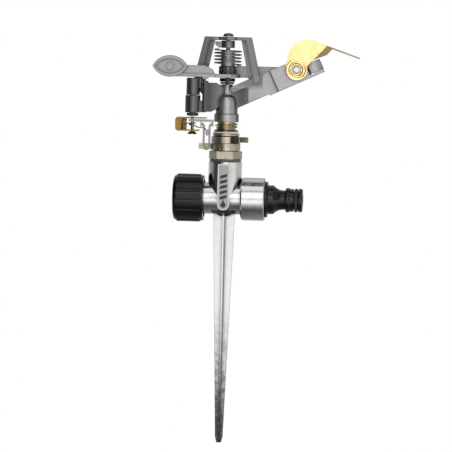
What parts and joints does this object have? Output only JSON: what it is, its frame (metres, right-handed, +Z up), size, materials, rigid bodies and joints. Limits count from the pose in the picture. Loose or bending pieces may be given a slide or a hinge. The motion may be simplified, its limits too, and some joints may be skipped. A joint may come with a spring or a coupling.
{
  "type": "impact sprinkler on ground spike",
  "caption": "Impact sprinkler on a metal ground spike: spring-returned hammer arm, jet deflector flap, part-circle trip and collars, capped side outlet and hose inlet.",
  "frame": {"origin": "on the vertical axis of the spike and bearing, at ground level, where the spike blade meets the round foot of its casting", "axes": "+Z up along the bearing axis, +X along the cross pipe towards the hose inlet, with the nozzle stored pointing over the inlet"},
  "size_m": [0.1535, 0.0358, 0.3065],
  "materials": {
    "zinc_casting": "bright plated zinc casting with fine casting ripple",
    "plated_steel": "dull zinc plate with a faint brassy cast",
    "steel_wire": "drawn spring wire",
    "head_grey": "satin mid-grey moulding with a metallic cast",
    "arm_grey": "satin light-grey moulding",
    "black_plastic": "semi-gloss black moulding",
    "rubber": "black rubber",
    "brass": "bright rolled brass",
    "white_plastic": "off-white low-friction plastic",
    "fibre": "pressed fibre sealing washer"
  },
  "bodies": {
    "base": {"spike_casting": "zinc_casting", "hose_adapter": "black_plastic", "inlet_washer": "rubber", "adapter_o_ring": "rubber", "nipple_gasket": "fibre", "bearing_nipple": "plated_steel"},
    "cap_seal": {"end_cap_washer": "rubber"},
    "cap": {"end_cap": "black_plastic"},
    "upper_collar": {"upper_trip_collar": "plated_steel"},
    "lower_collar": {"lower_trip_collar": "plated_steel"},
    "head": {"head_body": "head_grey", "bearing_tube": "brass", "lower_rubber_washer": "rubber", "lower_slip_washer": "white_plastic", "upper_slip_washer": "white_plastic", "spring_cup": "steel_wire", "bearing_spring": "steel_wire", "nozzle": "brass", "near_flap_rivet": "steel_wire", "far_flap_rivet": "steel_wire", "arm_washer": "rubber", "pivot_pin": "steel_wire", "pin_cap": "head_grey", "spring_adjuster": "head_grey", "arm_spring": "steel_wire", "trip_bush": "rubber"},
    "hammer": {"hammer_arm": "arm_grey", "arm_bush": "black_plastic"},
    "flap": {"deflector_flap": "brass"},
    "trip": {"trip_cam": "head_grey", "trip_lever": "brass", "trip_pin": "steel_wire", "pin_eyelet": "brass", "wire_carrier": "plated_steel", "trip_spring": "steel_wire"},
    "wire": {"trip_wire": "steel_wire"}
  },
  "joints": [
    {"name": "head_swivel", "type": "hinge", "parent": "base", "child": "head", "pos_m": [0, 0, 0.06], "axis": [0, 0, 1], "range_deg": [-15, 65]},
    {"name": "upper_collar_turn", "type": "hinge", "parent": "base", "child": "upper_collar", "pos_m": [0, 0, 0.0576], "axis": [0, 0, 1], "range_deg": [0, 90]},
    {"name": "lower_collar_turn", "type": "hinge", "parent": "base", "child": "lower_collar", "pos_m": [0, 0, 0.0523], "axis": [0, 0, 1], "range_deg": [-60, 0]},
    {"name": "hammer_swing", "type": "hinge", "parent": "head", "child": "hammer", "pos_m": [0, 0, 0.108], "axis": [0, 0, 1], "range_deg": [0, 75], "stiffness_Nm_per_rad": 0.02, "springref_deg": -28.65, "deforming": ["arm_spring"]},
    {"name": "flap_tilt", "type": "hinge", "parent": "head", "child": "flap", "pos_m": [0.0519, 0, 0.1112], "axis": [0, 1, 0], "range_deg": [-20, 25]},
    {"name": "trip_turn", "type": "hinge", "parent": "head", "child": "trip", "pos_m": [-0.0245, -0.011, 0.08], "axis": [0, 0, 1], "range_deg": [-12, 12]},
    {"name": "wire_lift", "type": "hinge", "parent": "trip", "child": "wire", "pos_m": [-0.0137, -0.011, 0.069], "axis": [-1, 0, 0], "range_deg": [0, 85]},
    {"name": "cap_travel", "type": "slide", "parent": "base", "child": "cap_seal", "axis": [-1, 0, 0], "range_m": [0, 0.0095]},
    {"name": "cap_turn", "type": "hinge", "parent": "cap_seal", "child": "cap", "pos_m": [-0.03, 0, 0.0138], "axis": [-1, 0, 0], "range_deg": [0, 1800]}
  ],
  "couplings": [
    {"joint": "cap_travel", "follows": "cap_turn", "m_per_rad": 0.0002887}
  ]
}
